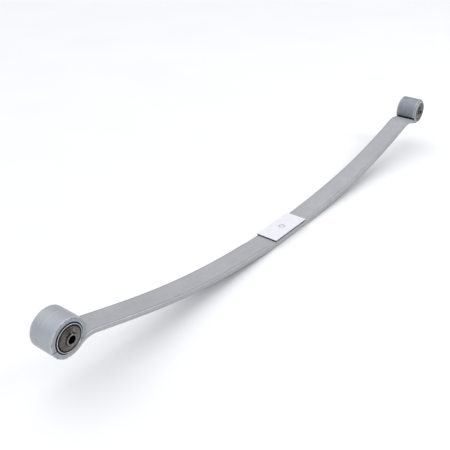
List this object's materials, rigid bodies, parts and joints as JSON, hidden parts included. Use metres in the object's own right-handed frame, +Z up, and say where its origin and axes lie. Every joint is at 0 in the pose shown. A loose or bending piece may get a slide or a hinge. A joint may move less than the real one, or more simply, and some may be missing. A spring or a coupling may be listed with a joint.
{
  "type": "leaf spring",
  "caption": "Single-leaf suspension spring with a rolled eye and a bonded rubber bush at each end and a flat axle seat plate in the middle.",
  "frame": {"origin": "centre of the top face of the seat plate, on the axis of the centre dowel", "axes": "+X along the leaf towards the rear eye, +Y across the leaf, +Z up, away from the seat face"},
  "size_m": [1.6111, 0.075, 0.1807],
  "materials": {
    "leaf_paint": "satin silver-grey paint over spring steel",
    "plate_metal": "bright plain sheet, lightly scuffed",
    "pad_rubber": "dark matt bonded pad",
    "dowel_steel": "bright turned steel",
    "sleeve_steel": "bright turned end on a plain steel tube",
    "bush_rubber": "black moulded rubber, slight sheen",
    "inner_steel": "oiled bare steel with a brown cast",
    "cap_steel": "oiled pressed steel with a brown cast"
  },
  "bodies": {
    "leaf": {"main_leaf": "leaf_paint", "seat_pad": "pad_rubber", "seat_plate": "plate_metal", "centre_dowel": "dowel_steel", "front_bush_outer_sleeve": "sleeve_steel", "front_bush_rubber": "bush_rubber", "rear_bush_outer_sleeve": "sleeve_steel", "rear_bush_rubber": "bush_rubber"},
    "front_pivot": {"front_bush_inner_sleeve": "inner_steel", "front_bush_left_cap": "cap_steel", "front_bush_right_cap": "cap_steel"},
    "rear_pivot": {"rear_bush_inner_sleeve": "inner_steel", "rear_bush_left_cap": "cap_steel", "rear_bush_right_cap": "cap_steel"}
  },
  "joints": [
    {"name": "front_bush_twist", "type": "hinge", "parent": "leaf", "child": "front_pivot", "pos_m": [-0.7431, 0, 0.1185], "axis": [0, 1, 0], "range_deg": [-25, 25], "stiffness_Nm_per_rad": 30},
    {"name": "rear_bush_twist", "type": "hinge", "parent": "leaf", "child": "rear_pivot", "pos_m": [0.7857, 0, 0.0989], "axis": [0, 1, 0], "range_deg": [-25, 25], "stiffness_Nm_per_rad": 30}
  ]
}
